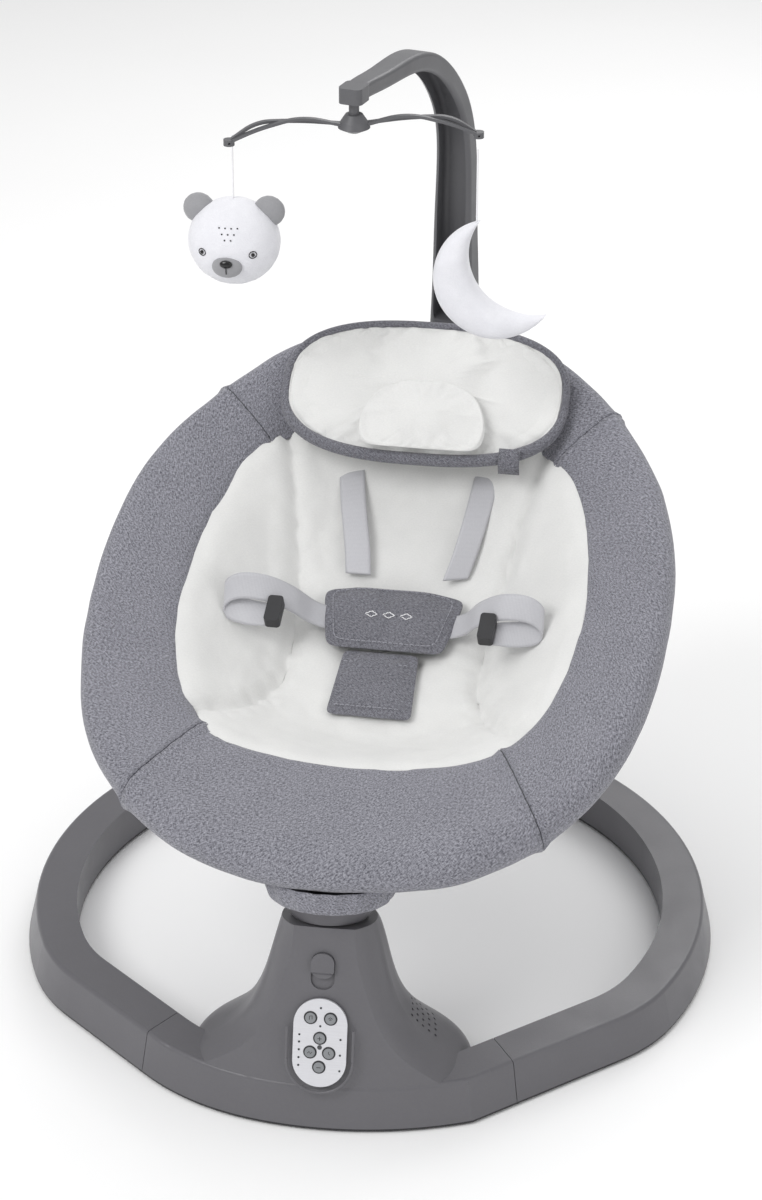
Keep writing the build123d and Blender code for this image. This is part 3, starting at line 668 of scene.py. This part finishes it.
def rounded_shape(corners, softness=6, count=112):
    """A closed outline through corners, evenly spaced and with soft corners."""
    dense = []
    for a, b in zip(corners, corners[1:] + corners[:1]):
        dense += [np.array(a) + (np.array(b) - np.array(a)) * t for t in np.linspace(0, 1, 60)[:-1]]
    line = np.array(dense)
    run = np.r_[0, np.linalg.norm(np.diff(line, axis=0), axis=1).cumsum()]
    even = np.linspace(0, run[-1], count, endpoint=False)
    line = np.column_stack([np.interp(even, run, line[:, i]) for i in (0, 1)])
    for _ in range(softness):
        line = (np.roll(line, 1, 0) + 2 * line + np.roll(line, -1, 0)) / 4
    return line


def pad_rows(outline, rise, sink, rings=16):
    centre = outline.mean(0)
    rows = []
    shares = np.sin(np.linspace(0.04, pi / 2, rings))
    for share in shares:
        rows.append((share, rise * (1 - share ** 3.2) ** 0.6))
    for share in shares[-2::-1]:
        rows.append((share, -sink * (1 - share ** 3.2) ** 0.6))
    return np.array([np.column_stack([centre + (outline - centre) * share,
                                      np.full(len(outline), level)]) for share, level in rows])


def inflate(piece, outline, pressure=3.0, growth=0.05, most=0.004):
    points = np.array([v.co for v in piece.data.vertices])
    edge = np.linalg.norm(points[:, None, :2] - outline[None], axis=2).min(1) < 0.0012
    group = piece.vertex_groups.new(name="seam")
    group.add([int(i) for i in np.flatnonzero(edge)], 1.0, "REPLACE")
    cloth = piece.modifiers.new("cloth", "CLOTH")
    cloth.settings.vertex_group_mass = "seam"
    cloth.settings.mass = 0.2
    cloth.settings.use_pressure = True
    cloth.settings.uniform_pressure_force = pressure
    cloth.settings.shrink_min = -growth
    cloth.settings.effector_weights.gravity = 0.0
    cloth.settings.quality = 5
    for frame in range(1, 21):
        scene.frame_set(frame)
        depsgraph = bpy.context.evaluated_depsgraph_get()
        state = piece.evaluated_get(depsgraph)
        blown = np.array([v.co for v in state.data.vertices])
    piece.modifiers.remove(cloth)
    scene.frame_set(1)
    move = blown - points
    size = np.linalg.norm(move, axis=1, keepdims=True)
    move *= np.minimum(1, most / np.maximum(size, 1e-9))
    piece.data.vertices.foreach_set("co", (points + move).ravel())
    piece.data.update()
    print(piece.name, "blown up by at most", round(float(size.max()) * 1000, 1), "mm")


def pad(name, outline, rise, sink, finish, place, node, wrinkle=0.0,
        growth=0.05, most=0.004, rings=16):
    """A stuffed pad in place of a CAD node, with wrinkles that run in from its seam."""
    outline = np.array(outline) * MM
    piece = grid_piece(name, pad_rows(outline, rise * MM, sink * MM, rings), finish,
                       closed=True, flip=True, caps=True)
    inflate(piece, outline, growth=growth, most=most)
    points = np.array([v.co for v in piece.data.vertices])
    centre = outline.mean(0)
    flat = points[:, :2] - centre
    angle = np.arctan2(flat[:, 1], flat[:, 0])
    share = 1 - np.linalg.norm(points[:, None, :2] - outline[None], axis=2).min(1) / (
        np.linalg.norm(outline - centre, axis=1).min())
    near = np.clip((share - 0.35) / 0.5, 0, 1) * np.clip((1 - share) / 0.06, 0, 1)
    ring = np.column_stack([np.cos(angle), np.sin(angle), share * 0.35])
    points[:, 2] += near * wrinkle * MM * (ripple(ring, 7.0) + 0.6 * ripple(ring, 14.0, 3.0))
    points[:, 2] += ripple(points, 30.0) * wrinkle * MM * 0.5
    piece.data.vertices.foreach_set("co", points.ravel())
    layer = piece.data.uv_layers[0]
    for loop in piece.data.loops:
        layer.data[loop.index].uv = points[loop.vertex_index][:2]
    piece.data.transform(place)
    smooth(piece)
    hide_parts(node)
    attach(piece, "seat")
    return piece


PILLOW = SEAT @ Matrix.Translation((6 * MM, 478 * MM, 10 * MM)) @ spin("X", 18)
pad("pillow_cloth", rounded(119, 59, 2.7, 160), 9.5, 7, knit, PILLOW,
    "head_pillow", wrinkle=2.4, growth=0.07, most=0.005, rings=24)
cradle_edge = rounded_shape([(-50, -50), (58, -50), (60, -26), (48, 2), (22, 12), (-14, 12),
                             (-40, 2), (-52, -26)], 26)
pad("cradle_cloth", cradle_edge, 6, 5, knit, PILLOW @ Matrix.Translation((0, -0.007, 0.0140)),
    "head_cradle", wrinkle=1.2, growth=0.05, most=0.003)
cover_edge = rounded_shape([(-50, -31), (50, -31), (61, 26), (30, 32), (-30, 32), (-61, 26)], 7)
COVER = SEAT @ Matrix.Translation((0, 293 * MM, -70 * MM))
pad("buckle_pad", cover_edge, 5.2, 4, heather_dark, COVER, "buckle_cover",
    wrinkle=0.8, growth=0.03, most=0.002)
crotch_edge = rounded_shape([(-36, -31), (36, -31), (32, 34), (-32, 34)], 4)
CROTCH = SEAT @ Matrix.Translation((-2 * MM, 228 * MM, -74.5 * MM))
pad("crotch_pad_cloth", crotch_edge, 4.5, 3.5, heather_dark, CROTCH,
    "crotch_pad", wrinkle=0.8, growth=0.03, most=0.002)

# %% [markdown]
# Piping, thread and webbing all follow a line. A tube is a line with a round section; a
# ribbon is a line with a flat one, whose width direction can turn along the way.

# %% Lines
def tube(name, line, radii, finish, place, closed=True, round_points=10, lift=1.0):
    """A round or oval tube along a line in the XY plane's neighbourhood."""
    line = np.array(line)
    ahead = np.roll(line, -1, 0) - np.roll(line, 1, 0) if closed else np.gradient(line, axis=0)
    ahead /= np.linalg.norm(ahead, axis=1, keepdims=True)
    side = np.cross(ahead, (0, 0, 1.0))
    side /= np.maximum(np.linalg.norm(side, axis=1, keepdims=True), 1e-9)
    up = np.cross(side, ahead)
    radii = np.broadcast_to(np.array(radii, float), (len(line),))
    around = np.linspace(0, 2 * pi, round_points, endpoint=False)
    grid = np.array([line + radii[:, None] * (np.cos(a) * side + lift * np.sin(a) * up)
                     for a in around])
    rows = np.vstack([grid, grid[:1]])
    return grid_piece(name, rows, finish, closed=closed, place=place, flip=True)


def join(name, pieces):
    """Several meshes in one object."""
    built = bmesh.new()
    for piece in pieces:
        built.from_mesh(piece.data)
        bpy.data.objects.remove(piece)
    mesh = bpy.data.meshes.new(name)
    built.to_mesh(mesh)
    built.free()
    joined = bpy.data.objects.new(name, mesh)
    scene.collection.objects.link(joined)
    return joined


def stitches(name, line, finish, place, body="seat", stitch=0.0032,
             gap=0.0014, radius=0.00035):
    """A row of stitches: short rounded dashes of thread that dip in at both ends."""
    line = np.array(line)
    run = np.r_[0, np.linalg.norm(np.diff(line, axis=0), axis=1).cumsum()]
    dashes = []
    for start in np.arange(0, run[-1] - stitch, stitch + gap):
        at = np.linspace(start, start + stitch, 5)
        dash = np.column_stack([np.interp(at, run, line[:, i]) for i in range(3)])
        dash[:, 2] += np.array([-0.9, 0.5, 0.9, 0.5, -0.9]) * radius
        dashes.append(tube(name, dash, radius, finish, place, False, 5))
    row = join(name, dashes)
    row.data.materials.append(finish)
    row.data.polygons.foreach_set("use_smooth", [True] * len(row.data.polygons))
    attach(row, body)


def at_level(flat, level):
    return np.column_stack([flat, np.full(len(flat), level)])


edge_line = at_level(rounded(121.5, 61.5, 2.7, 160) * MM, 0.0)
thick = 0.0034 + 0.0020 * np.clip(-edge_line[:, 1] / 0.05, 0, 1)
binding = tube("pillow_piping", edge_line, thick, heather_dark, PILLOW, lift=1.15)
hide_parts("pillow_binding")
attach(binding, "seat")
tab = grid_piece("pillow_tab", np.array([[(x * MM, y * MM, z * MM) for x in (72, 78, 84, 90)]
                                         for y, z in ((-68, -2), (-64, 5), (-56, 8.4), (-50, 9.6))]),
                 heather_dark, place=PILLOW)
thicken(tab, 0.0014, 0.0)
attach(tab, "seat")
loop = np.vstack([cover_edge, cover_edge[:1]]) * 0.86 * MM
stitches("buckle_stitches", at_level(loop, 0.0052), thread_grey, COVER)
for level, rows in (("low", -24), ("high", 20)):
    line = [(x * MM, rows * MM, 4.6 * MM) for x in (-29, 0, 29)]
    stitches(f"crotch_stitches_{level}", line, thread_grey, CROTCH)
flat_liner = liner_grid.reshape(-1, 3)
for name, sign in (("left", -1), ("right", 1)):
    spots = wing_line * (sign, 1)
    nearest = np.linalg.norm(flat_liner[None, :, :2] - spots[:, None], axis=2).argmin(1)
    seam = np.column_stack([spots, flat_liner[nearest, 2] + 0.0008])
    stitches(f"liner_seam_{name}", seam[::2], thread_liner, SEAT,
             stitch=0.0042, gap=0.0010, radius=0.00045)
print("stitched")

# %% [markdown]
# The buckle cover carries a plain sewn pattern: three small lozenges in a row.

# %% Pattern on the cover
for number, x in enumerate((-15, 0, 15)):
    lozenge = np.array([(x - 5, 0), (x, 3), (x + 5, 0), (x, -3), (x - 5, 0)]) * MM
    stitches(f"cover_lozenge_{number}", at_level(lozenge, 0.0074), thread_white, COVER,
             stitch=0.0022, gap=0.0006, radius=0.00045)
print("cover pattern: 3 lozenges")

# %% [markdown]
# The harness is flat satin webbing. It stays flat along its width and bends only along its
# length, except where it twists, so each ribbon carries a width direction at every point.

# %% Harness
def ribbon(name, points, sides, width, node=None, steps=10, thickness=1.5, finish=None,
           place=SEAT):
    line = catmull(points, steps) * MM
    side = catmull(sides, steps)
    side /= np.linalg.norm(side, axis=1, keepdims=True)
    across = np.linspace(-0.5, 0.5, 9)
    bow = (0.25 - across ** 2) * 1.2 * MM
    up = np.cross(np.gradient(line, axis=0), side)
    up /= np.maximum(np.linalg.norm(up, axis=1, keepdims=True), 1e-9)
    spread = (across * width * MM)[:, None, None]
    grid = line[None] + side[None] * spread + up[None] * bow[:, None, None]
    piece = grid_piece(name, grid, finish or webbing, place=place)
    thicken(piece, thickness * MM, 0.0)
    if node:
        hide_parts(node)
    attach(piece, "seat")
    return piece


U = (1, 0, 0)
ribbon("shoulder_web_left", [(-57, 446, -58), (-56, 436, -47), (-50, 404, -54), (-40, 362, -66),
                             (-36, 340, -72)], [U, U, (1, 0.05, 0), (1, 0.1, 0), U], 22,
       "shoulder_strap_left")
ribbon("shoulder_web_right", [(66, 448, -56), (64, 440, -44), (60, 404, -52), (54, 366, -63),
                              (48, 342, -72)],
       [(1, 0, 0.3), (1, 0, 0.2), (1, 0.2, -0.1), (1, 0.35, -0.3), (1, 0.35, -0.2)], 22,
       "shoulder_strap_right")
for name, sign in (("left", -1), ("right", 1)):
    loop = [(50, 292, -74), (66, 290, -62), (80, 287, -42), (100, 285, -27), (122, 283, -24),
            (134, 279, -31), (132, 274, -40), (116, 270, -42), (96, 267, -40)]
    lean = [(0, 1, 0), (0, 1, 0.1), (0, 1, 0.3), (0, 1, 0.6), (0, 1, 0.8), (0, 1, 0.9),
            (0, 1, 0.8), (0, 1, 0.4), (0, 1, 0)]
    ribbon(f"waist_web_{name}", [(sign * x, y, z) for x, y, z in loop], lean, 22,
           f"waist_strap_{name}")
print("harness: 4 webs")

# %% [markdown]
# The two toys are plush. The bear is a flattened ball with ears, a muzzle and a stitched
# face; the moon is two crescents of cloth sewn round their edge and stuffed.

# %% Toys
POST = Vector((0.036343, 0.287431, 0))
ARM_TURN, ARM_REACH, HANGER_TURN = -15.2, 0.224, 13
HANGER = (Matrix.Translation(POST) @ spin("Z", ARM_TURN)
          @ Matrix.Translation((0, -ARM_REACH, 0)) @ spin("Z", HANGER_TURN))
left_tip = HANGER @ Vector((-0.1, 0, 0))
right_tip = HANGER @ Vector((0.1, 0, 0))
TIP_Z, GAP = 0.696, 0.0004
BEAR = Matrix.Translation((left_tip.x, left_tip.y, TIP_Z - 0.054 - 0.038 * 0.96 - GAP))


def ball(name, centre, radii, finish, fuzz=0.0, rows=40, columns=64, place=BEAR):
    up = np.linspace(0.001, pi - 0.001, rows)[:, None]
    turn = np.linspace(0, 2 * pi, columns, endpoint=False)[None]
    unit = np.stack([np.sin(up) * np.cos(turn), np.sin(up) * np.sin(turn),
                     np.cos(up) + 0 * turn], -1)
    uneven = 1 + fuzz * ripple(unit, 5.0) + 0.5 * fuzz * ripple(unit, 14.0)
    grid = unit * radii * uneven[..., None]
    return grid_piece(name, (grid + centre) * MM, finish, closed=True, place=place)


def toy(piece, body, node=None):
    if node:
        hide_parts(node)
    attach(piece, body)


toy(ball("bear_ball", (0, 0, 0), (38, 31.2, 36.4), white_plush, 0.008, 64, 96), "bear",
    "bear_head")
ears = []
for sign in (-1, 1):
    dome = ball("ear", (sign * 29, 2, 26), (13, 6.3, 13), grey_plush, 0.02)
    ears.append(dome)
ears = join("bear_ear_pair", ears)
ears.data.materials.append(grey_plush)
toy(ears, "bear", "bear_ears")
toy(ball("bear_snout", (-1, -29.4, -12), (12.5, 5.0, 9.2), grey_plush, 0.01), "bear",
    "bear_muzzle")
toy(ball("bear_nose_tip", (-1, -34.2, -8), (5.2, 2.4, 3.4), black_gloss, 0.0, 24, 32), "bear",
    "bear_nose")


def on_head(x, z, lift=0.3):
    """A spot on the front of the bear's head."""
    depth = np.sqrt(max(0.02, 1 - (x / 38) ** 2 - (z / 36.4) ** 2)) * 31.2
    return np.array((x, -depth - lift, z))


face = [ball("speckle", on_head(x, z), (0.75, 0.35, 0.75), black_gloss, 0.0, 8, 12)
        for z, spots in ((20, (-7.5, -2.5, 2.5, 7.5)), (15.5, (-5, 0, 5)), (11, (-2.5, 2.5)))
        for x in spots]
for sign in (-1, 1):
    face.append(ball("pupil", on_head(sign * 21 - 1, -1.5), (1.7, 0.9, 1.7), black_gloss, 0.0,
                     12, 16))
    a = np.linspace(0, 2 * pi, 24, endpoint=False)
    ring = np.array([on_head(sign * 21 - 1 + 2.9 * np.cos(t), -1.5 + 2.9 * np.sin(t)) for t in a])
    face.append(tube("eye_ring", ring * MM, 0.0004, black_gloss, BEAR))
mouth = [(-1, -35.0, -11), (-1, -34.9, -14), (-1, -34.2, -16.5)]
face.append(tube("mouth", np.array(mouth) * MM, 0.0004, black_gloss, BEAR, False))
face = join("bear_face", face)
face.data.materials.append(black_gloss)
toy(face, "bear")
print("bear hangs at", tuple(round(c, 3) for c in BEAR.translation))

# %% [markdown]
# The moon's outline is two circles of one size, set apart. For each step along the crescent
# there is a point on each circle, and an oval section spans them.

# %% Moon
RADIUS, OFFSET, HANG = 0.051, np.array((0.0287, 0.020)), 0.016
MOON = Matrix.Translation((right_tip.x + HANG, right_tip.y,
                           TIP_Z - 0.061 - np.sqrt(RADIUS ** 2 - HANG ** 2) - GAP))
t = np.linspace(0, 1, 90)
outer_turn = np.radians(104.8 + 220.0 * t)
inner_turn = np.radians(144.9 + 139.8 * t)
outer = RADIUS * np.column_stack([np.cos(outer_turn), np.sin(outer_turn)])
inner = OFFSET + RADIUS * np.column_stack([np.cos(inner_turn), np.sin(inner_turn)])
middle, half = (outer + inner) / 2, (outer - inner) / 2
wide = np.linalg.norm(half, axis=1)
depth = np.minimum(0.0146, 0.0018 + wide * 0.95)
around = np.linspace(0, 2 * pi, 48, endpoint=False)
moon_rows = []
for s in range(len(t)):
    across = np.sign(np.cos(around)) * np.abs(np.cos(around)) ** 0.9
    flat = middle[s] + half[s] * across[:, None]
    rise = depth[s] * np.sign(np.sin(around)) * np.abs(np.sin(around)) ** 0.8
    moon_rows.append(np.column_stack([flat[:, 0], rise, flat[:, 1]]))
moon_grid = np.array(moon_rows)
pull = ripple(moon_grid * (1, 0.3, 1), 60.0) * 0.0009 * np.abs(np.sin(around))[None]
moon_grid[..., 1] += np.sign(moon_grid[..., 1]) * pull
crescent = grid_piece("moon_plush", moon_grid, white_plush, closed=True, place=MOON)
toy(crescent, "moon", "moon")
print("moon hangs at", tuple(round(c, 3) for c in MOON.translation))

# %% [markdown]
# Each toy hangs on a short cord, straight and tight. It is a curve with a round bevel.

# %% Strings
for name, tip, length in (("left", left_tip, 0.0536), ("right", right_tip, 0.0606)):
    curve = bpy.data.curves.new(f"cord_{name}", "CURVE")
    curve.dimensions = "3D"
    curve.bevel_depth = 0.00075
    curve.use_fill_caps = True
    spline = curve.splines.new("NURBS")
    spline.points.add(3)
    top = TIP_Z - GAP
    for point, share in zip(spline.points, (0, 1 / 3, 2 / 3, 1)):
        point.co = (tip.x, tip.y, top - length * share, 1)
    spline.order_u = 3
    spline.use_endpoint_u = True
    string = bpy.data.objects.new(f"cord_{name}", curve)
    scene.collection.objects.link(string)
    curve.materials.append(thread_white)
    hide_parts(f"string_{name}")
    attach(string, f"string_{name}")
print("toys hang from", tuple(round(c, 3) for c in left_tip), tuple(round(c, 3) for c in right_tip))

# %% [markdown]
# Small things on the tower: a dark ring round each button, plain printed signs on the
# buttons, and the moulded channel that runs round the lower half of the panel.

# %% Control panel
FACE = (Matrix.Translation((0, -0.3143 + 0.077 * np.tan(radians(16.9)), 0.077))
        @ spin("X", 90 - 16.9))
BUTTONS = {"music": (-8, 20.5), "wireless": (8, 20.5), "swing_up": (0, 4), "mode": (-7.5, -8),
           "timer": (7.5, -8), "swing_down": (0, -20)}


def circle(radius, level, start=0.0, end=360.0, count=32, at=(0, 0)):
    a = np.radians(np.linspace(start, end, count, endpoint=end - start < 360))
    return np.column_stack([at[0] + radius * np.cos(a), at[1] + radius * np.sin(a),
                            np.full(count, level)]) * MM


def fixed(piece, body, finish):
    if not piece.data.materials:
        piece.data.materials.append(finish)
    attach(piece, body)


rings = [tube("ring", circle(4.9, 0.05, at=spot), 0.00055, dark_plastic, FACE)
         for spot in BUTTONS.values()]
fixed(join("button_rings", rings), "base", dark_plastic)
SIGNS = {
    "music": [[(-0.7, -1.2), (-0.7, 1.6), (1.4, 2.0), (1.4, -0.8)]],
    "wireless": [[(-1.6, 0.4), (0, 1.6), (1.6, 0.4)], [(-0.8, -0.6), (0, 0), (0.8, -0.6)]],
    "swing_up": [[(-1.7, 0), (1.7, 0)], [(0, -1.7), (0, 1.7)]],
    "mode": [[(-1.8, -0.6), (-0.6, 0.9), (0.6, -0.9), (1.8, 0.6)]],
    "timer": [[(0, 1.8), (0, 0), (1.2, -0.8)]],
    "swing_down": [[(-1.7, 0), (1.7, 0)]],
}
for name, lines in SIGNS.items():
    spot = BUTTONS[name]
    marks = [tube("mark", np.array([(spot[0] + x, spot[1] + y, 1.42) for x, y in line]) * MM,
                  0.00022, black_gloss, FACE, False, 6) for line in lines]
    fixed(join(f"sign_{name}", marks), f"button_{name}", black_gloss)
side = np.linspace(12, -15, 14)
down = circle(26.5, 0, 180, 360, 30, (0, -15)) / MM
channel = np.vstack([np.column_stack([np.full(14, -26.5), side, np.zeros(14)]), down,
                     np.column_stack([np.full(14, 26.5), side[::-1], np.zeros(14)])])
groove = tube("panel_channel", channel * MM, 0.0011, grey_plastic, FACE, False, 8, 0.6)
fixed(groove, "base", grey_plastic)
print("panel: rings and signs for", len(BUTTONS), "buttons")
